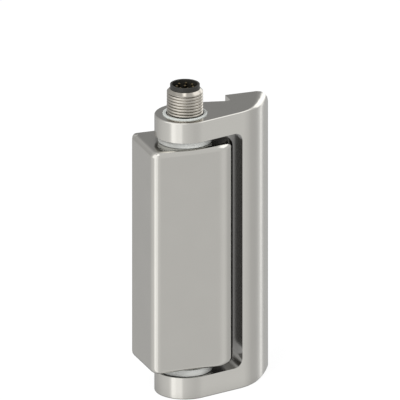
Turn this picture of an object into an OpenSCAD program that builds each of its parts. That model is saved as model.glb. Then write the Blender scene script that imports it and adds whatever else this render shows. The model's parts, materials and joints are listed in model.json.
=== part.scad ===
// Safety hinge switch. A fixed housing holds the sensing electronics, and a
// C-shaped door leaf turns about it on a hollow upper journal and a lower pin.
// The plug connector comes out through the upper journal, on the hinge axis.
// Millimetres. The origin is on the hinge axis, at the underside of the lower
// ear. +X points to the leaf's upright, +Y to the mounting plane and +Z up.

/* [Door leaf] */
// Height of the door leaf
leaf_h = 96; // [85:1:125]
// Thickness of the upper ear
upper_ear_t = 7; // [6:0.5:9]
// Thickness of the lower ear
lower_ear_t = 7.5; // [6:0.5:9]
// Outer radius of the ears
ear_r = 10; // [9.6:0.1:12]
// Distance from the hinge axis to the mounting plane
mount_y = 11.9; // [11.2:0.1:14]
// Distance from the hinge axis to the inner face of the upright
slot_x = 18.1; // [18:0.1:21]
// Corner radius where the ears meet the upright
slot_corner_r = 3; // [1:0.25:5]
// Slope of the leaf's front away from the mounting plane, in degrees
front_slope = 15.7; // [12:0.1:18]
// Slope of the ears' rear edge, in degrees
rear_slope = 13; // [10:0.5:16]
// Distance from the hinge axis to the end of the flat front
shoulder_x = 17.1; // [15:0.1:19]
// Radius from the front to the end face
shoulder_r = 16.8; // [12:0.2:20]
// Slope at which the end face starts, in degrees
end_slope = 50; // [45:1:56]
// Radius of the slightly crowned end face
end_r = 57; // [45:1:90]
// Radius in the corner between the ears and the mounting pad
pad_corner_r = 1.2; // [0.8:0.1:2]
// Fillet along the leaf's top and bottom edges
leaf_edge_r = 0.5; // [0.3:0.05:0.8]
// Fillet of the top edge at the rear end, where it is largest
crown_r = 3.8; // [1:0.1:4.2]
// Length past the slot where the top fillet starts to grow
crown_start = 1; // [0:0.1:4]

/* [Housing] */
// Distance from the hinge axis to the housing's left face
housing_left = 14.7; // [14:0.1:17]
// Distance from the hinge axis to the housing's right face
housing_right = 15.3; // [14.6:0.1:17]
// Radius of the left front edge
left_corner_r = 3; // [2.5:0.25:6]
// Radius of the right front edge
right_corner_r = 7.8; // [4:0.1:9]
// Radius of the two rear edges
rear_corner_r = 2.2; // [2.1:0.1:3]
// Fillet along the housing's top and bottom edges
housing_edge_r = 2; // [0.8:0.1:2.1]
// Fillet of the top edge at the mounting plane
rear_edge_r = 0.5; // [0.3:0.1:0.8]
// Gap between the housing's top and the upper ear
top_gap = 2.2; // [1.5:0.1:4]
// Gap between the lower ear and the housing's bottom
bottom_gap = 2.3; // [2:0.1:5]
// Thickness of the front wall
front_wall = 3; // [2:0.25:4]
// Width of the electronics cavity
cavity_w = 16.6; // [14:0.2:18]
// Thickness of the floor between the upper journal and the cavity
journal_floor = 2.4; // [2:0.1:6]

/* [Pivot] */
// Radius of the lower pivot pin
pin_r = 5; // [4:0.1:5.6]
// Wall of the lower bearing bush
bush_wall = 1.6; // [1:0.1:2]
// Length of the lower bearing bush
bush_l = 12.5; // [8:0.5:13]
// Thickness of the lower shaft seal
seal_t = 1.8; // [1:0.1:2.5]
// Outer radius of the hollow upper journal
journal_r = 7.35; // [7:0.05:8]
// Depth of the journal in the housing
journal_seat = 14.7; // [10:0.1:16]
// Height of the journal's rim over the ear
journal_proud = 0.3; // [0.1:0.1:1]
// Wall of the bush in the upper ear
ear_bush_wall = 1; // [0.8:0.1:1.4]
// Thickness of the ear's lip over the bush
ear_lip_t = 1.5; // [1:0.1:2.5]
// Outer radius of the thrust washers
washer_r = 8.9; // [8.5:0.1:9.5]
// Radius of the pin's grub screw
grub_r = 1.5; // [1:0.25:2]
// Length of the pin's grub screw
grub_l = 5; // [3:0.5:5]
// Radial running clearance
run_gap = 0.05; // [0.02:0.01:0.1]
// Axial clearance between the ears and the washers
axial_gap = 0.05; // [0.02:0.01:0.2]
// Clearance of a seated piece
seat_gap = 0.01; // [0.005:0.005:0.05]

/* [Sensing] */
// Radius of the turning magnet
magnet_r = 3; // [2:0.1:3.5]
// Thickness of the turning magnet
magnet_t = 2.5; // [1.5:0.1:3]
// Wall of the magnet's holder
holder_wall = 1.5; // [1:0.1:1.8]
// Air gap between the magnet and the sensor
air_gap = 0.6; // [0.4:0.1:1]
// Height of the angle sensor's case
sensor_t = 1.2; // [0.8:0.1:2]
// Width and depth of the angle sensor's case
sensor_w = 5; // [3:0.5:6]
// Thickness of the circuit boards
board_t = 1.6; // [1:0.1:2]
// Width of the ledge that carries the main board
board_ledge = 1; // [0.6:0.1:1.5]
// Distance from the hinge axis to the main board
board_y = 7; // [6:0.1:7.2]
// Width of the chips on the main board
chip_w = 5; // [4:0.5:6]
// Height of the components over the main board
chip_t = 1; // [0.6:0.1:1.5]

/* [Rear cover] */
// Thickness of the rear cover
cover_t = 1.2; // [0.8:0.1:1.5]
// Depth of the cover under the mounting plane
cover_sunk = 0.2; // [0.1:0.05:0.4]
// Thickness of the gasket
gasket_t = 0.5; // [0.3:0.1:1]
// Width of the gasket's rim round the cavity
gasket_rim = 3.6; // [3.2:0.1:3.8]
// Radius of the cover screws' shanks
cover_screw_r = 0.8; // [0.6:0.05:1]
// Radius of the cover screws' heads
cover_head_r = 1.5; // [1.2:0.05:1.7]
// Length of the cover screws
cover_screw_l = 5; // [4:0.5:7]

/* [Fixing] */
// Core radius of the tapped fixing holes
tap_r = 2.1; // [1.6:0.1:2.5]
// Depth of the tapped fixing holes
tap_depth = 7; // [5:0.5:7.5]
// Distance of the fixing holes from the housing's top and bottom
tap_end = 7.5; // [6.5:0.5:8.5]
// Distance from the hinge axis to the housing's fixing holes
housing_tap_x = 9; // [8.6:0.1:10]
// Distance from the hinge axis to the leaf's fixing holes
leaf_tap_x = 25.5; // [24:0.1:26.5]

/* [Connector] */
// Outer radius of the connector's thread
thread_r = 6; // [5.8:0.05:6.2]
// Height of the threaded sleeve over the ear
thread_h = 8.8; // [7:0.1:12]
// Radius of the neck under the thread
neck_r = 5.6; // [5.4:0.05:5.7]
// Depth of the connector under the ear's top
neck_depth = 14; // [10:0.5:18]
// Chamfer at the sleeve's rim
rim_chamfer = 1; // [0.3:0.1:1]
// Radius of the contact carrier
carrier_r = 4.87; // [4.6:0.01:4.9]
// Height of the contact carrier over the sleeve
carrier_proud = 1.4; // [0.5:0.1:2]
// Inner radius of the plug's cup
cup_r = 4.2; // [3.8:0.05:4.4]
// Depth of the plug's cup
cup_depth = 8; // [6:0.5:9]
// Width of the coding key in the cup
key_w = 0.9; // [0.6:0.1:1.2]
// Depth of the coding key in the cup
key_d = 0.6; // [0.4:0.1:0.7]
// Direction of the coding key, in degrees
key_angle = 191.5; // [0:0.5:360]
// Radius of each contact pin
contact_r = 0.4; // [0.3:0.05:0.5]
// Number of contacts on the ring round the middle one
contact_ring = 7; // [4:1:7]
// Radius of the ring of contacts
contact_pitch_r = 2.75; // [2.4:0.05:2.9]
// Depth of the contacts' tips under the cup's rim
contact_sunk = 0.4; // [0.2:0.1:2]
// Radius of the round section of the connector's seal
ring_seal_r = 0.58; // [0.4:0.02:0.6]
// Height of the plug on the board that takes the wires
plug_h = 5; // [3:0.5:8]
// Distance from the cavity's top to that plug
plug_drop = 5; // [3:0.5:8]

/* [Hidden] */
$fn = 64;

steel = "#b9b7b0";
pale_steel = "#cfd2d2";
nickel = "#a8a198";
black = "#33332f";
rubber = "#1d1d1d";
gold = "#c9a24a";
green = "#2f6b45";
bronze = "#a88250";
white = "#e4e2da";

over = 1;
arc_step = 7;
fillet_steps = 4;

leaf_top = leaf_h;
slot_z0 = lower_ear_t;
slot_z1 = leaf_h - upper_ear_t;
housing_z0 = slot_z0 + bottom_gap;
housing_z1 = slot_z1 - top_gap;

pin_bore_r = pin_r + seat_gap;
bush_r = pin_r + run_gap + bush_wall;
bush_z0 = housing_z0 + seal_t;
bush_z1 = bush_z0 + bush_l;
pin_top = bush_z1 + over;

journal_z0 = housing_z1 - journal_seat;
journal_top = leaf_top + journal_proud;
wire_bore_r = journal_r - 2.4;
ear_bush_r = journal_r + run_gap + ear_bush_wall;

neck_z0 = leaf_top - neck_depth;
thread_z0 = journal_top + seat_gap;
thread_top = leaf_top + thread_h;
seal_floor = leaf_top - 4;
journal_mouth_r = thread_r + 0.9;
shell_bore_r = carrier_r + seat_gap;
carrier_top = thread_top + carrier_proud;
carrier_z0 = neck_z0 + 2;
cup_floor = carrier_top - cup_depth;
contact_tail_z = carrier_z0 - 1;
contact_tip_z = carrier_top - contact_sunk;

holder_base = 1.5;
holder_r = magnet_r + holder_wall;
holder_top = pin_top + holder_base + magnet_t;
holder_spigot_r = 2;
holder_spigot_l = 4;
sensor_z0 = holder_top + air_gap;
sensor_board_z0 = sensor_z0 + sensor_t;

cavity_z0 = bush_z1;
cavity_z1 = journal_z0 - journal_floor;
cavity_x0 = -cavity_w / 2 + 0.3;
cavity_x1 = cavity_x0 + cavity_w;
pocket_x0 = cavity_x0 - board_ledge;
pocket_x1 = cavity_x1 + board_ledge;
pocket_z0 = cavity_z0 + 2;
gasket_y = mount_y - cover_sunk - cover_t - gasket_t;
cover_y = gasket_y + gasket_t;
cover_x0 = pocket_x0 - gasket_rim;
cover_x1 = pocket_x1 + gasket_rim;
cover_z0 = pocket_z0 - gasket_rim;
cover_z1 = cavity_z1 + gasket_rim;
cover_fit = 0.1;
board_fit = 0.1;
plug_half = contact_pitch_r + contact_r + 0.8;
plug_z1 = cavity_z1 - plug_drop;

function arc(cx, cy, r, a0, a1) =
    let (n = max(2, ceil(abs(a1 - a0) / arc_step)))
    [for (k = [0:n]) let (a = a0 + (a1 - a0) * k / n)
        [cx + r * cos(a), cy + r * sin(a), cos(a), sin(a)]];

// Outline of the housing: x, y and the outward direction of each point
housing_outline = concat(
    arc(-housing_left + left_corner_r, -ear_r + left_corner_r, left_corner_r, 180, 270),
    arc(housing_right - right_corner_r, -ear_r + right_corner_r, right_corner_r, 270, 360),
    arc(housing_right - rear_corner_r, mount_y - rear_corner_r, rear_corner_r, 0, 90),
    arc(-housing_left + rear_corner_r, mount_y - rear_corner_r, rear_corner_r, 90, 180));

// The leaf's outline goes round the ears, along the sloping front, over the
// shoulder and up the crowned end. It runs past the mounting plane, where the
// leaf is cut flat, and the space behind the ears is cut away.
rear_over = crown_r + 1;
rear_lap = 3;
front_a = front_slope - 90;
shoulder_y = (shoulder_x * cos(front_a) - ear_r) / -sin(front_a);
shoulder_cx = shoulder_x - shoulder_r * cos(front_a);
shoulder_cy = shoulder_y - shoulder_r * sin(front_a);
end_a = end_slope - 90;
end_cx = shoulder_cx + (shoulder_r - end_r) * cos(end_a);
end_cy = shoulder_cy + (shoulder_r - end_r) * sin(end_a);
end_stop_a = asin((mount_y + rear_over - end_cy) / end_r);
end_x = end_cx + end_r * cos(asin((mount_y - end_cy) / end_r));
step_x = slot_x + 0.2;
rear_a = 90 - rear_slope;
step_cx = step_x - pad_corner_r;
step_cy = (ear_r + pad_corner_r - step_cx * cos(rear_a)) / sin(rear_a);

leaf_outline = concat(
    arc(0, 0, ear_r, rear_a - rear_lap, 360 + front_a),
    arc(shoulder_cx, shoulder_cy, shoulder_r, front_a, end_a),
    [for (k = [1:8]) let (a = end_a + (end_stop_a - end_a) * k / 8)
        [end_cx + end_r * cos(a), end_cy + end_r * sin(a), cos(a), sin(a)]]);

// The top fillet of the leaf grows along the end face, with a smooth start
crown_x = slot_x + crown_start;
function crown(x) = let (t = min(1, max(0, (x - crown_x) / (end_x - crown_x))))
    leaf_edge_r + (crown_r - leaf_edge_r) * t * t * (2 - t);

// A prism over an outline with rounded bottom and top edges. foot and head
// hold one fillet radius for each point of the outline.
module rounded_prism(outline, z0, z1, foot, head) {
    n = len(outline);
    steps = fillet_steps;
    layers = concat([for (k = [0:steps]) [k, 0]], [for (k = [steps:-1:0]) [k, 1]]);
    points = [for (layer = layers) for (i = [0:n - 1])
        let (p = outline[i], a = 90 * layer[0] / steps,
            f = layer[1] == 0 ? foot[i] : head[i],
            inset = f * (1 - sin(a)), rise = f * (1 - cos(a)))
        [p.x - inset * p[2], p.y - inset * p[3],
            layer[1] == 0 ? z0 + rise : z1 - rise]];
    last = len(layers) - 1;
    sides = [for (k = [0:last - 1]) for (i = [0:n - 1])
        let (a = k * n + i, b = k * n + (i + 1) % n, c = b + n, d = a + n)
        each [[a, d, c], [a, c, b]]];
    bottom = [for (i = [0:n - 1]) i];
    top = [for (i = [n - 1:-1:0]) last * n + i];
    polyhedron(points, concat([bottom], sides, [top]), convexity = 4);
}

module tube(r, bore, z0, z1) {
    difference() {
        translate([0, 0, z0]) cylinder(r = r, h = z1 - z0);
        translate([0, 0, z0 - over]) cylinder(r = bore, h = z1 - z0 + 2 * over);
    }
}

module box(x0, x1, y0, y1, z0, z1) {
    translate([x0, y0, z0]) cube([x1 - x0, y1 - y0, z1 - z0]);
}

// A hole along Y that opens at the rear, from y up to the mounting plane
module rear_hole(x, z, r, y) {
    translate([x, y, z]) rotate([-90, 0, 0]) cylinder(r = r, h = mount_y - y + over);
}

module each_tap(x) {
    for (z = [housing_z0 + tap_end, housing_z1 - tap_end])
        rear_hole(x, z, tap_r, mount_y - tap_depth);
}

cover_screw_x = [cover_x0 + cover_head_r + 0.5, cover_x1 - cover_head_r - 0.5];
cover_screw_z = [cover_z0 + cover_head_r + 0.5, cover_z1 - cover_head_r - 0.5];

module each_cover_screw() {
    for (x = cover_screw_x)
        for (z = cover_screw_z)
            translate([x, 0, z]) children();
}

module each_contact() {
    children();
    for (k = [0:contact_ring - 1])
        rotate(key_angle + 360 * (k + 0.5) / contact_ring)
            translate([contact_pitch_r, 0, 0]) children();
}

module housing() {
    foot = [for (p = housing_outline) housing_edge_r];
    head = [for (p = housing_outline)
        housing_edge_r - (housing_edge_r - rear_edge_r) * max(0, p[3])];
    color(steel) difference() {
        rounded_prism(housing_outline, housing_z0, housing_z1, foot, head);
        translate([0, 0, housing_z0 - over])
            cylinder(r = bush_r + seat_gap, h = bush_z1 - housing_z0 + 2 * over);
        translate([0, 0, journal_z0])
            cylinder(r = journal_r + seat_gap, h = journal_seat + over);
        translate([0, 0, cavity_z1 - over])
            cylinder(r = wire_bore_r, h = journal_z0 - cavity_z1 + 2 * over);
        box(cavity_x0, cavity_x1, -ear_r + front_wall, board_y + over, cavity_z0, cavity_z1);
        box(pocket_x0, pocket_x1, board_y, mount_y, pocket_z0, cavity_z1);
        box(cover_x0, cover_x1, gasket_y, mount_y + over, cover_z0, cover_z1);
        each_cover_screw() rotate([-90, 0, 0])
            translate([0, 0, cover_y + cover_t - cover_screw_l])
                cylinder(r = cover_screw_r, h = cover_screw_l);
        each_tap(-housing_tap_x);
    }
}

module rear_cover() {
    head_y = cover_y + cover_t;
    color(steel) difference() {
        box(cover_x0 + cover_fit, cover_x1 - cover_fit, cover_y, head_y,
            cover_z0 + cover_fit, cover_z1 - cover_fit);
        each_cover_screw() rotate([-90, 0, 0]) {
            translate([0, 0, cover_y - over]) cylinder(r = cover_screw_r + cover_fit, h = 3);
            translate([0, 0, head_y - cover_t / 2]) cylinder(r = cover_head_r + cover_fit, h = 3);
        }
    }
}

module cover_gasket() {
    color(rubber) difference() {
        box(cover_x0 + cover_fit, cover_x1 - cover_fit, gasket_y, cover_y,
            cover_z0 + cover_fit, cover_z1 - cover_fit);
        box(pocket_x0, pocket_x1, gasket_y - over, cover_y + over, pocket_z0, cavity_z1);
        each_cover_screw() rotate([-90, 0, 0])
            translate([0, 0, gasket_y - over]) cylinder(r = cover_screw_r + cover_fit, h = 3);
    }
}

module cover_screws() {
    head_y = cover_y + cover_t;
    color(pale_steel) each_cover_screw() rotate([-90, 0, 0]) difference() {
        union() {
            translate([0, 0, head_y - cover_screw_l])
                cylinder(r = cover_screw_r - seat_gap, h = cover_screw_l);
            translate([0, 0, head_y - cover_t / 2]) cylinder(r = cover_head_r, h = cover_t / 2);
        }
        translate([-cover_head_r, -0.2, head_y - 0.3]) cube([2 * cover_head_r, 0.4, 1]);
    }
}

module pivot_sleeve() {
    color(pale_steel) difference() {
        tube(journal_r, wire_bore_r, journal_z0, journal_top);
        translate([0, 0, neck_z0]) cylinder(r = neck_r + seat_gap, h = neck_depth + over);
        translate([0, 0, seal_floor]) cylinder(r = journal_mouth_r, h = neck_depth);
    }
}

module upper_thrust_washer() {
    color(pale_steel) tube(washer_r, journal_r + run_gap, housing_z1, slot_z1 - axial_gap);
}

module lower_thrust_washer() {
    color(pale_steel) tube(washer_r, pin_r + run_gap, slot_z0 + axial_gap, housing_z0);
}

module lower_bearing_bush() {
    color(bronze) tube(bush_r, pin_r + run_gap, bush_z0, bush_z1);
}

module shaft_seal() {
    lip_r = pin_r + run_gap;
    color(rubber) difference() {
        tube(bush_r, lip_r, housing_z0, bush_z0);
        translate([0, 0, housing_z0 - over]) cylinder(r = (lip_r + bush_r) / 2, h = over + seal_t / 3);
    }
}

module connector_shell() {
    rim_r = thread_r - rim_chamfer;
    color(nickel) rotate_extrude() polygon([[shell_bore_r, neck_z0], [neck_r, neck_z0],
        [neck_r, thread_z0], [thread_r, thread_z0], [thread_r, thread_top - rim_chamfer],
        [rim_r, thread_top], [shell_bore_r, thread_top]]);
}

module connector_seal() {
    color(rubber) rotate_extrude()
        translate([neck_r + seat_gap + ring_seal_r, seal_floor + ring_seal_r])
            circle(r = ring_seal_r);
}

module contact_carrier() {
    color(black) union() {
        difference() {
            translate([0, 0, carrier_z0]) cylinder(r = carrier_r, h = carrier_top - carrier_z0);
            translate([0, 0, cup_floor]) cylinder(r = cup_r, h = cup_depth + over);
            translate([0, 0, carrier_z0 - over]) each_contact()
                cylinder(r = contact_r + seat_gap, h = carrier_top);
        }
        rotate(key_angle) intersection() {
            translate([cup_r - key_d, -key_w / 2, cup_floor])
                cube([key_d + (carrier_r - cup_r) / 2, key_w, cup_depth - 0.5]);
            cylinder(r = (carrier_r + cup_r) / 2, h = carrier_top);
        }
    }
}

module contact_pins() {
    tip = contact_r / 2;
    color(gold) translate([0, 0, contact_tail_z]) each_contact() {
        cylinder(r = contact_r, h = contact_tip_z - contact_tail_z - tip);
        translate([0, 0, contact_tip_z - contact_tail_z - tip])
            cylinder(r1 = contact_r, r2 = contact_r - tip, h = tip);
    }
}

module contact_wires() {
    color(white) translate([0, 0, plug_z1]) each_contact()
        cylinder(r = contact_r, h = contact_tail_z - plug_z1);
}

module wire_plug() {
    color(white) box(-plug_half, plug_half, -plug_half, board_y, plug_z1 - plug_h, plug_z1);
}

module circuit_board() {
    color(green) box(pocket_x0 + board_fit, pocket_x1 - board_fit, board_y, board_y + board_t,
        pocket_z0 + board_fit, cavity_z1 - board_fit);
}

// Two controllers, two output drivers and three capacitors on the board
module board_components() {
    step = 0.8 * chip_w;
    small = 0.3 * chip_w;
    mid_x = (cavity_x0 + cavity_x1) / 2;
    row_z = sensor_board_z0 + board_t + step;
    color(black) for (x = [mid_x - step, mid_x + step]) {
        box(x - chip_w / 2, x + chip_w / 2, board_y - chip_t, board_y, row_z, row_z + chip_w);
        box(x - small, x + small, board_y - chip_t, board_y,
            row_z + chip_w + small, row_z + chip_w + 3 * small);
    }
    color(white) for (x = [mid_x - step, mid_x, mid_x + step])
        box(x - small, x + small, board_y - chip_t, board_y, row_z - 1.5 * small, row_z - small / 2);
}

module sensor_board() {
    color(green) box(cavity_x0 + board_fit, cavity_x1 - board_fit, -holder_r, board_y,
        sensor_board_z0, sensor_board_z0 + board_t);
}

module angle_sensor() {
    color(black) box(-sensor_w / 2, sensor_w / 2, -sensor_w / 2, sensor_w / 2,
        sensor_z0, sensor_board_z0);
}

module yoke() {
    color(steel) difference() {
        rounded_prism(leaf_outline, 0, leaf_top,
            [for (p = leaf_outline) leaf_edge_r], [for (p = leaf_outline) crown(p.x)]);
        box(0, end_x + rear_over, mount_y, mount_y + 2 * rear_over, -over, leaf_top + over);
        translate([0, 0, -over]) linear_extrude(leaf_top + 2 * over) pad_step();
        translate([0, mount_y + over, 0]) rotate([90, 0, 0])
            linear_extrude(mount_y + ear_r + 2 * over) slot_profile();
        translate([0, 0, -over]) cylinder(r = pin_bore_r, h = lower_ear_t + 2 * over);
        translate([0, 0, slot_z1 - over])
            cylinder(r = ear_bush_r + seat_gap, h = upper_ear_t - ear_lip_t + over);
        translate([0, 0, slot_z1]) cylinder(r = journal_r + 2 * run_gap, h = upper_ear_t + over);
        grub_hole(grub_r);
        each_tap(leaf_tap_x);
    }
}

// The space behind the ears, beside the mounting pad, seen from above
module pad_step() {
    corner = arc(step_cx, step_cy, pad_corner_r, -180 + rear_a, 0);
    far_y = mount_y + 3 * rear_over;
    polygon(concat([[0, far_y], [0, ear_r / sin(rear_a)]], [for (p = corner) [p.x, p.y]],
        [[step_x, far_y]]));
}

// The slot between the ears, seen from the front
module slot_profile() {
    far = slot_x - slot_corner_r;
    translate([-ear_r - over, slot_z0]) square([ear_r + over + far, slot_z1 - slot_z0]);
    translate([0, slot_z0 + slot_corner_r])
        square([slot_x, slot_z1 - slot_z0 - 2 * slot_corner_r]);
    for (z = [slot_z0 + slot_corner_r, slot_z1 - slot_corner_r])
        translate([far, z]) circle(r = slot_corner_r);
}

grub_y = pin_r - 1;

module grub_hole(r) {
    translate([0, grub_y, lower_ear_t / 2]) rotate([-90, 0, 0]) cylinder(r = r, h = ear_r);
}

module upper_ear_bush() {
    color(bronze) tube(ear_bush_r, journal_r + run_gap, slot_z1, leaf_top - ear_lip_t);
}

module lower_pivot_pin() {
    color(pale_steel) difference() {
        cylinder(r = pin_r, h = pin_top);
        translate([0, 0, pin_top - holder_spigot_l - 0.5])
            cylinder(r = holder_spigot_r + seat_gap, h = holder_spigot_l + over);
        grub_hole(grub_r + seat_gap);
    }
}

module pin_grub_screw() {
    socket_l = 1.5;
    color(nickel) translate([0, grub_y, lower_ear_t / 2]) rotate([-90, 0, 0]) difference() {
        cylinder(r = grub_r - seat_gap, h = grub_l);
        translate([0, 0, grub_l - socket_l]) cylinder(r = grub_r / 2, h = socket_l + over, $fn = 6);
    }
}

module magnet_holder() {
    color(white) difference() {
        union() {
            translate([0, 0, pin_top]) cylinder(r = holder_r, h = holder_top - pin_top);
            translate([0, 0, pin_top - holder_spigot_l])
                cylinder(r = holder_spigot_r, h = holder_spigot_l + holder_base / 2);
        }
        translate([0, 0, pin_top + holder_base]) cylinder(r = magnet_r + seat_gap, h = magnet_t + over);
    }
}

module sensor_magnet() {
    color(nickel) translate([0, 0, pin_top + holder_base]) cylinder(r = magnet_r, h = magnet_t);
}

housing();
rear_cover();
cover_gasket();
cover_screws();
pivot_sleeve();
upper_thrust_washer();
lower_thrust_washer();
lower_bearing_bush();
shaft_seal();
connector_shell();
connector_seal();
contact_carrier();
contact_pins();
contact_wires();
wire_plug();
circuit_board();
board_components();
sensor_board();
angle_sensor();
yoke();
upper_ear_bush();
lower_pivot_pin();
pin_grub_screw();
magnet_holder();
sensor_magnet();
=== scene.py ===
"""Safety hinge switch: a fixed housing and a C-shaped door leaf of satin steel,
with a plug connector on the hinge axis. Metres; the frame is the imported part."""

import json
import math

import bmesh
import bpy
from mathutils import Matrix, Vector


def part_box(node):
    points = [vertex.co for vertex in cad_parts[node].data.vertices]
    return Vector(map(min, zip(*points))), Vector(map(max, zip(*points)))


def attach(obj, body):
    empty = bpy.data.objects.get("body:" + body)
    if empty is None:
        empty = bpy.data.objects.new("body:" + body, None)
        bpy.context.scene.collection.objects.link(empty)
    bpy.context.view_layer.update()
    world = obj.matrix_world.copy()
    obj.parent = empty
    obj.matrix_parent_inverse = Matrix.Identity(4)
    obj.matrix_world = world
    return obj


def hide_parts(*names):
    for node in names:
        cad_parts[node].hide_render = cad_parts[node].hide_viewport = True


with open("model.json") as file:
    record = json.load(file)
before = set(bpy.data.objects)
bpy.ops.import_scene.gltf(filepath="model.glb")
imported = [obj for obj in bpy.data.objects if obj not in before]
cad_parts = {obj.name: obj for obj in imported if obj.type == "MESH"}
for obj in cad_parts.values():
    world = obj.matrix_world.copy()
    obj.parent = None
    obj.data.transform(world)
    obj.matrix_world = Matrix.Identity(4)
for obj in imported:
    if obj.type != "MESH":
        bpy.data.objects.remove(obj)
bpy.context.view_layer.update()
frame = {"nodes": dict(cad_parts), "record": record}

MM = 0.001
WHITE = (1, 1, 1, 1)

# The photograph's view: straight lines stay parallel, seen from the front left
# and above. The look point is given along the picture's own two directions.
VIEW_AZIMUTH = -20.0
VIEW_ELEVATION = 20.0
PICTURE_WIDTH = 130.6 * MM
LOOK_RIGHT = 4.92 * MM
LOOK_UP = 61.87 * MM
CAMERA_DISTANCE = 0.6
OBJECT_MIDDLE = Vector((0.008, 0, 0.053))

# Facets round a turned piece, and the angle over which its edges stay crisp
LATHE_TURNS = 128
CRISP_ANGLE = math.radians(35)

# What makes a CAD node's facets one clean form, and which edges are rounded
MERGE_GAP = 0.002 * MM
FLAT_ANGLE = math.radians(0.5)
EDGE_ANGLE = math.radians(32)

# Thread of the connector's sleeve. It runs a little into the rim, and over a
# share of its length at both ends it fades to a share of its section.
THREAD_PITCH = 1.0 * MM
THREAD_DEPTH = 0.55 * MM
THREAD_FOOT = 95.4 * MM
THREAD_OVERLAP = 0.2 * MM
FADE_LENGTH = 0.05
FADED_SIZE = 0.05
POINTS_A_TURN = 96
POINTS_ROUND_RIDGE = 16

# Rim of the sleeve: a sloping underside, a band and a chamfer. Both edges of
# the chamfer are broken by a step across and a step up.
RIM_CHAMFER = 1.0 * MM
RIM_BAND = 0.25 * MM
RIM_INSET = 0.08 * MM
RIM_SLOPE = 0.1 * MM
OUTER_BREAK = (0.08 * MM, 0.04 * MM)
INNER_BREAK = (0.1 * MM, 0.06 * MM)
CARRIER_CLEARANCE = 0.01 * MM

# Bores of the hollow journal, from the lip at its rim down to the wires
LIP_BORE = 6.2 * MM
LIP_LENGTH = 1.2 * MM
SEAL_BORE = 6.9 * MM
SEAL_FOOT = 92.0 * MM
NECK_BORE = 5.61 * MM
NECK_FOOT = 82.0 * MM
WIRE_BORE = 4.95 * MM

# Rounded edge of the journal, and how far in the middle of such an edge lies
JOURNAL_EDGE = 0.15 * MM
EDGE_MIDDLE = 0.3

# Values of a noise between which a colour goes from its darkest to its palest
NOISE_SPAN = (0.3, 0.7)

# How open a corner or gap is where its painted shade is at its darkest and where
# it has its full colour, and how many rays measure that
GAP_SPAN = (0.05, 0.6)
GAP_RAYS = 8

# Painted shade in the gaps beside the thrust washers, where the ear nearly touches
# them: the widest gap that is shaded, and by how much
WASHER_GAP_SHADE = (1.5 * MM, 0.7)

FLOOR_RADIUS = 2.5
FLOOR_SEGMENTS = 96
FLOOR_COLOUR = (0.9, 0.9, 0.9, 1)
# Share of plain white that the camera sees in the floor, beside its shadow
FLOOR_WHITE = 0.9


def add_node(tree, kind, **values):
    """A new node. Each value goes to the input of that name, or to a setting."""
    node = tree.nodes.new(kind)
    for key, value in values.items():
        if key in node.inputs:
            node.inputs[key].default_value = value
        else:
            setattr(node, key, value)
    return node


def socket(sockets, identifier):
    """A node's socket by its identifier, where several share a name."""
    for item in sockets:
        if item.identifier == identifier:
            return item
    raise KeyError(identifier)


def direction(azimuth, elevation):
    """The way from the object to a place that two angles in degrees give."""
    a, e = math.radians(azimuth), math.radians(elevation)
    return Vector((math.sin(a) * math.cos(e), -math.cos(a) * math.cos(e), math.sin(e)))


def place_facing(thing, location, way):
    """Puts a camera or lamp into the scene, looking back against way."""
    thing.location = location
    thing.rotation_mode = "QUATERNION"
    thing.rotation_quaternion = (-way).to_track_quat("-Z", "Y")
    bpy.context.scene.collection.objects.link(thing)


def camera():
    """The photograph's camera, without perspective."""
    back = direction(VIEW_AZIMUTH, VIEW_ELEVATION)
    turn = math.radians(VIEW_AZIMUTH)
    right = Vector((math.cos(turn), math.sin(turn), 0))
    up = back.cross(right)
    data = bpy.data.cameras.new("camera")
    data.type = "ORTHO"
    data.ortho_scale = PICTURE_WIDTH
    data.clip_start, data.clip_end = 0.01, 5
    eye = bpy.data.objects.new("camera", data)
    place_facing(eye, right * LOOK_RIGHT + up * LOOK_UP + back * CAMERA_DISTANCE, back)
    bpy.context.scene.camera = eye


def linear(shade):
    """A linear colour from 8-bit picture values."""
    return tuple((v / 255) ** 2.2 for v in shade) + (1.0,)


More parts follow.
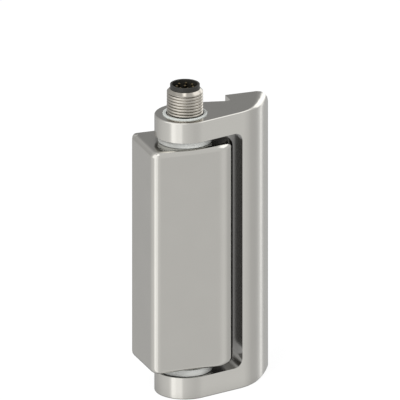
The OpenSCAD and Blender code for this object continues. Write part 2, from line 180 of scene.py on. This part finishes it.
class Finish:
    """A material under construction: nodes are added and joined by name."""

    def __init__(self, name, colour, rough, metal=0.0):
        self.material = bpy.data.materials.new(name)
        self.material.use_nodes = True
        self.tree = self.material.node_tree
        self.shader = self.tree.nodes["Principled BSDF"]
        self.shader.inputs["Base Color"].default_value = colour
        self.shader.inputs["Metallic"].default_value = metal
        self.shader.inputs["Roughness"].default_value = rough
        self.colour = colour
        self.rough = rough

    def add(self, kind, **values):
        return add_node(self.tree, kind, **values)

    def join(self, source, out, target, into):
        self.tree.links.new(source.outputs[out], target.inputs[into])

    def noise(self, scale, detail=2.0, stretch=(1, 1, 1)):
        """A noise on Object coordinates, stretched along the three axes."""
        coordinates = self.add("ShaderNodeTexCoord")
        mapping = self.add("ShaderNodeMapping", Scale=stretch)
        self.join(coordinates, "Object", mapping, "Vector")
        texture = self.add("ShaderNodeTexNoise", Scale=scale, Detail=detail)
        self.join(mapping, "Vector", texture, "Vector")
        return texture

    def shades(self, source, out, span, dark, pale):
        """A colour from dark to pale, over a span of a node's output."""
        node = self.add("ShaderNodeValToRGB")
        low, high = node.color_ramp.elements
        low.color, high.color = dark, pale
        low.position, high.position = span
        self.join(source, out, node, "Fac")
        return node

    def vary_colour(self, texture, amount):
        """The base colour grows darker and paler by amount along a texture."""
        dark = tuple(v * (1 - amount) for v in self.colour[:3]) + (1,)
        pale = tuple(min(1, v * (1 + amount)) for v in self.colour[:3]) + (1,)
        shades = self.shades(texture, "Fac", NOISE_SPAN, dark, pale)
        self.join(shades, "Color", self.shader, "Base Color")

    def vary_roughness(self, texture, amount):
        """The roughness goes down and up by amount along a texture."""
        spread = self.add("ShaderNodeMapRange")
        spread.inputs["To Min"].default_value = self.rough - amount
        spread.inputs["To Max"].default_value = self.rough + amount
        self.join(texture, "Fac", spread, "Value")
        self.join(spread, "Result", self.shader, "Roughness")

    def paint_gap_shade(self, reach, depth):
        """Painted shade: corners, and gaps narrower than reach, lose up to depth of the
        colour that vary_colour gave, where the piece beside them would keep the light away."""
        near = self.add("ShaderNodeAmbientOcclusion", Distance=reach, samples=GAP_RAYS)
        dark = (1 - depth, 1 - depth, 1 - depth, 1)
        shades = self.shades(near, "AO", GAP_SPAN, dark, WHITE)
        mixed = self.add("ShaderNodeMix", data_type="RGBA", blend_type="MULTIPLY")
        socket(mixed.inputs, "Factor_Float").default_value = 1.0
        base = self.shader.inputs["Base Color"]
        colour = base.links[0].from_socket
        self.tree.links.new(colour, socket(mixed.inputs, "A_Color"))
        self.tree.links.new(shades.outputs["Color"], socket(mixed.inputs, "B_Color"))
        self.tree.links.new(socket(mixed.outputs, "Result_Color"), base)

    def bump(self, texture, height, strength):
        """Bumps of a height in metres along a texture."""
        relief = self.add("ShaderNodeBump", Strength=strength, Distance=height)
        self.join(texture, "Fac", relief, "Height")
        self.join(relief, "Normal", self.shader, "Normal")


def blasted_steel(name):
    """Stainless casting, fine blasted: an even satin with a faint cloud, and painted shade in
    its corners and gaps.
    """
    finish = Finish(name, linear((204, 202, 196)), rough=0.15, metal=1.0)
    finish.vary_colour(finish.noise(scale=90), amount=0.012)
    finish.vary_roughness(finish.noise(scale=400), amount=0.02)
    finish.bump(finish.noise(scale=9000), height=0.004 * MM, strength=0.25)
    # painted shade in corners and deep in the gap between housing and leaf
    finish.paint_gap_shade(reach=9 * MM, depth=0.8)
    return finish.material


def turned_steel():
    """Turned on a lathe: fine rings round the hinge axis."""
    finish = Finish("turned_steel", linear((214, 214, 211)), rough=0.22, metal=1.0)
    finish.vary_roughness(finish.noise(scale=300), amount=0.03)
    rings = finish.noise(scale=700, stretch=(0.02, 0.02, 8))
    finish.bump(rings, height=0.003 * MM, strength=0.3)
    return finish.material


def moulded(name, shade, rough, gaps=None):
    """Injection-moulded plastic with a fine grain. With gaps, a reach and a depth,
    it gets painted shade where another piece nearly touches it."""
    finish = Finish(name, linear(shade), rough=rough)
    finish.vary_colour(finish.noise(scale=200), amount=0.03)
    finish.bump(finish.noise(scale=3500), height=0.006 * MM, strength=0.4)
    if gaps:
        # painted shade where another piece nearly touches
        finish.paint_gap_shade(*gaps)
    return finish.material


def plated(name, shade, rough):
    """Electroplated metal, a little uneven, with painted shade between close turns and in
    corners.
    """
    finish = Finish(name, linear(shade), rough=rough, metal=1.0)
    finish.vary_colour(finish.noise(scale=600), amount=0.05)
    finish.vary_roughness(finish.noise(scale=1500), amount=0.05)
    # painted shade between close turns and in corners
    finish.paint_gap_shade(reach=1.0 * MM, depth=0.85)
    return finish.material


def sintered_bronze():
    """Pressed from powder: grainy, with open pores."""
    finish = Finish("sintered_bronze", linear((168, 130, 80)), rough=0.45, metal=1.0)
    finish.vary_colour(finish.noise(scale=2500, detail=4.0), amount=0.2)
    finish.bump(finish.noise(scale=5000, detail=3.0), height=0.02 * MM, strength=0.5)
    return finish.material


def solder_mask():
    """Green lacquer over the tracks of a circuit board."""
    finish = Finish("solder_mask", linear((38, 96, 62)), rough=0.3)
    finish.vary_colour(finish.noise(scale=500, detail=3.0), amount=0.12)
    finish.bump(finish.noise(scale=1200), height=0.01 * MM, strength=0.3)
    return finish.material


MATERIALS = {
    "housing_steel": blasted_steel("housing_steel"),
    "leaf_steel": blasted_steel("leaf_steel"),
    "washer": moulded("washer_plastic", (162, 163, 160), 0.35, WASHER_GAP_SHADE),
    "turned_steel": turned_steel(),
    "sliding_coat": moulded("sliding_coat", (158, 161, 158), 0.35),
    "nickel": plated("nickel_plate", (184, 179, 170), 0.16),
    "bronze": sintered_bronze(),
    "carrier_plastic": moulded("carrier_plastic", (33, 32, 29), 0.45),
    "gold": plated("gold_plate", (92, 82, 62), 0.35),
    "seal_rubber": moulded("seal_rubber", (34, 34, 34), 0.6),
    "wire_plastic": moulded("wire_plastic", (226, 223, 212), 0.3),
    "board_green": solder_mask(),
    "chip_black": moulded("chip_plastic", (40, 40, 42), 0.5),
}


def slot_of(node):
    """The record's material slot of a CAD node."""
    for part in frame["record"]["subparts"]:
        if part["node"] == node:
            return part["material_slot"]
    raise KeyError(node)


def body_of(node):
    """The record's body that a CAD node belongs to."""
    for body, members in frame["record"]["behaviour"]["bodies"].items():
        if node in members:
            return body
    raise KeyError(node)


def paint(piece, slot):
    """Gives a piece the finish of a slot, and no other."""
    piece.data.materials.clear()
    piece.data.materials.append(MATERIALS[slot])


def piece_from(name, form):
    """A new piece in the scene from a bmesh, which is freed."""
    mesh = bpy.data.meshes.new(name)
    form.to_mesh(mesh)
    form.free()
    piece = bpy.data.objects.new(name, mesh)
    bpy.context.scene.collection.objects.link(piece)
    return piece


def baked(piece):
    """The piece with its modifiers turned into a plain mesh."""
    depsgraph = bpy.context.evaluated_depsgraph_get()
    mesh = bpy.data.meshes.new_from_object(piece.evaluated_get(depsgraph))
    piece.modifiers.clear()
    old = piece.data
    piece.data = mesh
    bpy.data.meshes.remove(old)
    mesh.name = piece.name
    return piece


def settled(piece, node):
    """Gives a finished piece its body and its finish, and hides the CAD node it stands for."""
    name = slot_of(node)
    paint(piece, name)
    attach(piece, body_of(node))
    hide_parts(node)
    return piece


def eased(node, radius, steps=3):
    """A copy of a CAD node with its sharp edges rounded and smooth shading."""
    form = bmesh.new()
    form.from_mesh(frame["nodes"][node].data)
    bmesh.ops.remove_doubles(form, verts=form.verts, dist=MERGE_GAP)
    bmesh.ops.dissolve_limit(form, angle_limit=FLAT_ANGLE, verts=form.verts, edges=form.edges)
    for face in form.faces:
        face.smooth = True
    piece = piece_from("eased_" + node, form)
    bevel = piece.modifiers.new("edges", "BEVEL")
    bevel.limit_method = "ANGLE"
    bevel.angle_limit = EDGE_ANGLE
    bevel.width = radius
    bevel.segments = steps
    bevel.use_clamp_overlap = True
    bevel.miter_outer = "MITER_ARC"
    normals = piece.modifiers.new("normals", "WEIGHTED_NORMAL")
    normals.keep_sharp = True
    normals.weight = 100
    return settled(baked(piece), node)


def lathe(name, profile):
    """A solid of revolution about Z from a closed profile of (radius, height)."""
    form = bmesh.new()
    rings = []
    for k in range(LATHE_TURNS):
        a = 2 * math.pi * k / LATHE_TURNS
        rings.append([form.verts.new((r * math.cos(a), r * math.sin(a), z)) for r, z in profile])
    count = len(profile)
    for k in range(LATHE_TURNS):
        near, far = rings[k], rings[(k + 1) % LATHE_TURNS]
        for i in range(count):
            j = (i + 1) % count
            form.faces.new((near[i], far[i], far[j], near[j]))
    bmesh.ops.recalc_face_normals(form, faces=form.faces)
    return piece_from(name, form)


def smooth(piece):
    """Smooth shading, with the sharper edges kept crisp."""
    for face in piece.data.polygons:
        face.use_smooth = True
    piece.data.set_sharp_from_angle(angle=CRISP_ANGLE)
    return piece


class Growth:
    """A geometry node tree under construction. Its inputs are numbers."""

    def __init__(self, name, inputs):
        self.tree = bpy.data.node_groups.new(name, "GeometryNodeTree")
        face = self.tree.interface
        face.new_socket("Geometry", in_out="INPUT", socket_type="NodeSocketGeometry")
        for label in inputs:
            face.new_socket(label, in_out="INPUT", socket_type="NodeSocketFloat")
        face.new_socket("Geometry", in_out="OUTPUT", socket_type="NodeSocketGeometry")
        self.start = self.add("NodeGroupInput")
        self.end = self.add("NodeGroupOutput")

    def add(self, kind, **values):
        return add_node(self.tree, kind, **values)

    def join(self, source, out, target, into):
        self.tree.links.new(source.outputs[out], target.inputs[into])

    def maths(self, operation, first, second):
        """A maths node. First and second are numbers or (node, output)."""
        node = self.add("ShaderNodeMath", operation=operation)
        for index, value in enumerate((first, second)):
            if isinstance(value, tuple):
                self.join(*value, node, index)
            else:
                node.inputs[index].default_value = value
        return node, 0

    def finish(self, source, out, material):
        """Ends the tree in one real geometry of one material."""
        realize = self.add("GeometryNodeRealizeInstances")
        painted = self.add("GeometryNodeSetMaterial", Material=material)
        self.join(source, out, realize, "Geometry")
        self.join(realize, "Geometry", painted, "Geometry")
        self.join(painted, "Geometry", self.end, "Geometry")

    def input_of(self, name):
        """The identifier of one of the tree's inputs, found by its name."""
        for item in self.tree.interface.items_tree:
            if item.item_type == "SOCKET" and item.in_out == "INPUT" and item.name == name:
                return item.identifier
        raise KeyError(name)

    def grow(self, piece, **values):
        """Runs the tree on a piece and turns the result into a plain mesh."""
        modifier = piece.modifiers.new(self.tree.name, "NODES")
        modifier.node_group = self.tree
        for name, value in values.items():
            modifier[self.input_of(name)] = value
        return baked(piece)


def thread_tree(material):
    """Adds a ridge that climbs round the Z axis and fades out at both ends."""
    grow = Growth("thread", ("Radius", "Foot", "Height", "Pitch", "Depth"))
    start = grow.start
    turns = grow.maths("DIVIDE", (start, "Height"), (start, "Pitch"))
    helix = grow.add("GeometryNodeCurveSpiral", Resolution=POINTS_A_TURN)
    grow.join(*turns, helix, "Rotations")
    grow.join(start, "Radius", helix, "Start Radius")
    grow.join(start, "Radius", helix, "End Radius")
    grow.join(start, "Height", helix, "Height")

    along = grow.add("GeometryNodeSplineParameter")
    fade = grow.add("ShaderNodeFloatCurve")
    points = fade.mapping.curves[0].points
    points[0].location = (0.0, FADED_SIZE)
    points[1].location = (1.0, FADED_SIZE)
    points.new(FADE_LENGTH, 1.0)
    points.new(1 - FADE_LENGTH, 1.0)
    fade.mapping.update()
    grow.join(along, "Factor", fade, "Value")

    # the ridge's section: a circle of the pitch's width, flattened to the depth
    half = grow.maths("MULTIPLY", (start, "Pitch"), 0.5)
    circle = grow.add("GeometryNodeCurvePrimitiveCircle", mode="RADIUS",
        Resolution=POINTS_ROUND_RIDGE)
    grow.join(*half, circle, "Radius")
    depth = grow.maths("DIVIDE", (start, "Depth"), half)
    shape = grow.add("ShaderNodeCombineXYZ", Y=1, Z=1)
    grow.join(*depth, shape, "X")
    section = grow.add("GeometryNodeTransform")
    grow.join(circle, "Curve", section, "Geometry")
    grow.join(shape, "Vector", section, "Scale")

    sweep = grow.add("GeometryNodeCurveToMesh")
    sweep.inputs["Fill Caps"].default_value = True
    grow.join(helix, "Curve", sweep, "Curve")
    grow.join(section, "Geometry", sweep, "Profile Curve")
    grow.join(fade, "Value", sweep, "Scale")
    lift = grow.add("GeometryNodeTransform")
    rise = grow.add("ShaderNodeCombineXYZ")
    grow.join(start, "Foot", rise, "Z")
    grow.join(sweep, "Mesh", lift, "Geometry")
    grow.join(rise, "Vector", lift, "Translation")
    both = grow.add("GeometryNodeJoinGeometry")
    grow.join(start, "Geometry", both, "Geometry")
    grow.join(lift, "Geometry", both, "Geometry")
    grow.finish(both, "Geometry", material)
    return grow


def threaded_sleeve():
    """The connector's sleeve: a core with a bright rim and a real thread."""
    low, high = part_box("connector_shell")
    outer = high.x
    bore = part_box("contact_carrier")[1].x + CARRIER_CLEARANCE
    core = outer - THREAD_DEPTH
    mouth = outer - RIM_CHAMFER
    chamfer_foot = high.z - RIM_CHAMFER
    rim_foot = chamfer_foot - RIM_BAND
    rim = outer - RIM_INSET
    profile = [(bore, low.z), (core, low.z), (core, rim_foot), (rim, rim_foot + RIM_SLOPE),
        (rim, chamfer_foot), (rim - OUTER_BREAK[0], chamfer_foot + OUTER_BREAK[1]),
        (mouth + INNER_BREAK[0], high.z - INNER_BREAK[1]), (mouth, high.z), (bore, high.z)]
    piece = lathe("threaded_sleeve", profile)
    thread = thread_tree(MATERIALS["nickel"])
    thread.grow(piece, Radius=core, Foot=THREAD_FOOT,
        Height=rim_foot + THREAD_OVERLAP - THREAD_FOOT, Pitch=THREAD_PITCH, Depth=THREAD_DEPTH)
    return settled(smooth(piece), "connector_shell")


def pivot_sleeve():
    """The hollow journal. Its lip closes round the thread, over the seal."""
    low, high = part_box("pivot_sleeve")
    outer = high.x
    edge = JOURNAL_EDGE
    middle = EDGE_MIDDLE * edge
    profile = [(WIRE_BORE, low.z), (outer - edge, low.z), (outer, low.z + edge),
        (outer, high.z - edge), (outer - middle, high.z - middle), (outer - edge, high.z),
        (LIP_BORE + edge, high.z), (LIP_BORE + middle, high.z - middle),
        (LIP_BORE, high.z - edge), (LIP_BORE, high.z - LIP_LENGTH),
        (SEAL_BORE, high.z - LIP_LENGTH), (SEAL_BORE, SEAL_FOOT), (NECK_BORE, SEAL_FOOT),
        (NECK_BORE, NECK_FOOT), (WIRE_BORE, NECK_FOOT)]
    return settled(smooth(lathe("sleeve_with_lip", profile)), "pivot_sleeve")


def dress_cad_nodes():
    """Hidden pieces keep their CAD form and take a real finish."""
    for name, piece in frame["nodes"].items():
        paint(piece, slot_of(name))


# Brightness of the studio by the direction's angle round the object, in degrees
# from the camera and negative to the left. There are four bands by height: LOW,
# below the horizon, is what upright faces mirror, and MIDDLE, HIGH and TOP lie
# over it up to the ceiling.
LOW = [(-180, 0.15), (-158, 0.34), (-142, 0.48), (-130, 0.5), (-110, 0.63), (-92, 0.72),
    (-66, 0.8), (-56, 0.95), (-50, 1.5), (-40, 1.5), (-32, 1.28), (-12, 1.28), (-8, 0.88),
    (0, 0.83), (12, 0.76), (40, 0.67), (54, 0.69), (72, 0.79), (84, 0.79), (94, 0.7),
    (106, 0.56), (124, 0.53), (134, 0.58), (142, 0.72), (144, 1.3), (147, 1.3), (149, 0.48),
    (162, 0.46), (180, 0.15)]
MIDDLE = [(-180, 0.2), (-165, 0.24), (-152, 0.46), (-138, 0.43), (-128, 0.4), (-108, 0.58),
    (-88, 0.8), (-76, 1.5), (-30, 1.5), (-12, 1.1), (8, 0.75), (70, 0.75), (100, 0.7),
    (130, 0.7), (135, 1.75), (158, 1.75), (163, 0.5), (169, 0.3), (180, 0.22)]
HIGH = [(-180, 0.3), (-150, 0.5), (-110, 0.6), (-88, 0.8), (-76, 1.5), (-30, 1.5),
    (-14, 1.1), (8, 0.75), (66, 0.75), (76, 0.9), (82, 1.8), (130, 1.8), (136, 0.8),
    (171, 0.6), (180, 0.3)]
TOP = [(-180, 0.75), (-48, 0.75), (-32, 2.3), (12, 2.3), (28, 0.75), (180, 0.75)]
# Heights in degrees between which one band passes into the next
LOW_TO_MIDDLE = (-9, 1)
MIDDLE_TO_HIGH = (23, 31)
HIGH_TO_TOP = (56, 64)
# Share of the plain white background in what metal mirrors; the rest is studio
WHITE_IN_METAL = 0.12


def studio_band(tree, angle_round, stops):
    """A band's brightness along the angle round the object, -180 to 180 degrees."""
    node = tree.nodes.new("ShaderNodeValToRGB")
    elements = node.color_ramp.elements
    for angle, _ in stops[1:-1]:
        elements.new(angle / 360 + 0.5)
    for element, (_, shade) in zip(elements, stops):
        element.color = (shade, shade, shade, 1)
    tree.links.new(angle_round, node.inputs["Fac"])
    return node.outputs["Color"]


def between(tree, source, edges):
    """Zero under the first height in degrees, one over the second, smooth between."""
    node = add_node(tree, "ShaderNodeMapRange", interpolation_type="SMOOTHSTEP")
    node.inputs["From Min"].default_value = math.sin(math.radians(edges[0]))
    node.inputs["From Max"].default_value = math.sin(math.radians(edges[1]))
    tree.links.new(source, node.inputs["Value"])
    return node.outputs["Result"]


def blend(tree, share, first, second):
    """Goes from the first to the second colour along share."""
    node = add_node(tree, "ShaderNodeMix", data_type="RGBA")
    tree.links.new(share, socket(node.inputs, "Factor_Float"))
    tree.links.new(first, socket(node.inputs, "A_Color"))
    tree.links.new(second, socket(node.inputs, "B_Color"))
    return socket(node.outputs, "Result_Color")


def studio(tree):
    """The studio's colour in each direction: pale all round, with soft boxes at
    the left front, the right rear and overhead, and a dim rear wall."""
    where = tree.nodes.new("ShaderNodeTexCoord")
    # turns the direction to the camera onto +X, where the gradient is half way
    turn = add_node(tree, "ShaderNodeVectorRotate", rotation_type="Z_AXIS",
        Angle=math.radians(90 - VIEW_AZIMUTH))
    tree.links.new(where.outputs["Generated"], turn.inputs["Vector"])
    radial = add_node(tree, "ShaderNodeTexGradient", gradient_type="RADIAL")
    tree.links.new(turn.outputs["Vector"], radial.inputs["Vector"])
    split = tree.nodes.new("ShaderNodeSeparateXYZ")
    tree.links.new(turn.outputs["Vector"], split.inputs["Vector"])
    angle_round = radial.outputs["Fac"]
    light = studio_band(tree, angle_round, LOW)
    for stops, edges in ((MIDDLE, LOW_TO_MIDDLE), (HIGH, MIDDLE_TO_HIGH), (TOP, HIGH_TO_TOP)):
        share = between(tree, split.outputs["Z"], edges)
        light = blend(tree, share, light, studio_band(tree, angle_round, stops))
    return light


def world_light():
    """The studio lights the object. The camera and clear pieces see plain white
    in its place, and metal sees a share of that white."""
    world = bpy.data.worlds.new("studio")
    bpy.context.scene.world = world
    world.use_nodes = True
    tree = world.node_tree
    tree.nodes.clear()
    room = tree.nodes.new("ShaderNodeBackground")
    tree.links.new(studio(tree), room.inputs["Color"])
    seen = add_node(tree, "ShaderNodeBackground", Color=WHITE)
    rays = tree.nodes.new("ShaderNodeLightPath")
    glossy = add_node(tree, "ShaderNodeMath", operation="MULTIPLY_ADD")
    glossy.inputs[1].default_value = WHITE_IN_METAL
    tree.links.new(rays.outputs["Is Glossy Ray"], glossy.inputs[0])
    tree.links.new(rays.outputs["Is Camera Ray"], glossy.inputs[2])
    clear = add_node(tree, "ShaderNodeMath", operation="ADD", use_clamp=True)
    tree.links.new(glossy.outputs["Value"], clear.inputs[0])
    tree.links.new(rays.outputs["Is Transmission Ray"], clear.inputs[1])
    choose = tree.nodes.new("ShaderNodeMixShader")
    tree.links.new(clear.outputs["Value"], choose.inputs["Fac"])
    tree.links.new(room.outputs["Background"], choose.inputs[1])
    tree.links.new(seen.outputs["Background"], choose.inputs[2])
    output = tree.nodes.new("ShaderNodeOutputWorld")
    tree.links.new(choose.outputs["Shader"], output.inputs["Surface"])


def lamp(name, azimuth, elevation, distance, size, watts):
    """A square soft light that looks at the middle of the object."""
    way = direction(azimuth, elevation)
    data = bpy.data.lights.new(name, "AREA")
    data.shape = "SQUARE"
    data.size = size
    data.energy = watts
    light = bpy.data.objects.new(name, data)
    light.visible_glossy = False
    place_facing(light, OBJECT_MIDDLE + way * distance, way)


def floor():
    """A white floor that keeps a faint shadow of the object."""
    form = bmesh.new()
    bmesh.ops.create_circle(form, cap_ends=True, segments=FLOOR_SEGMENTS, radius=FLOOR_RADIUS)
    ground = piece_from("floor", form)
    finish = Finish("floor_white", FLOOR_COLOUR, rough=0.8)
    glow = finish.add("ShaderNodeEmission", Strength=1.0, Color=WHITE)
    choose = finish.add("ShaderNodeMixShader")
    rays = finish.add("ShaderNodeLightPath")
    share = finish.add("ShaderNodeMath", operation="MULTIPLY")
    share.inputs[1].default_value = FLOOR_WHITE
    finish.join(rays, "Is Camera Ray", share, 0)
    finish.join(share, "Value", choose, "Fac")
    finish.join(finish.shader, "BSDF", choose, 1)
    finish.join(glow, "Emission", choose, 2)
    finish.join(choose, "Shader", finish.tree.nodes["Material Output"], "Surface")
    ground.data.materials.append(finish.material)
    ground.visible_glossy = False


camera()
dress_cad_nodes()
eased("housing", radius=0.25 * MM)
eased("yoke", radius=0.45 * MM)
eased("upper_thrust_washer", radius=0.15 * MM)
eased("lower_thrust_washer", radius=0.15 * MM)
pivot_sleeve()
eased("contact_carrier", radius=0.1 * MM, steps=2)
eased("rear_cover", radius=0.1 * MM, steps=2)
threaded_sleeve()
world_light()
floor()
lamp("key", azimuth=-60, elevation=50, distance=0.6, size=0.35, watts=4)
lamp("fill", azimuth=50, elevation=30, distance=0.7, size=0.4, watts=2)
bpy.context.scene.view_settings.view_transform = "Standard"
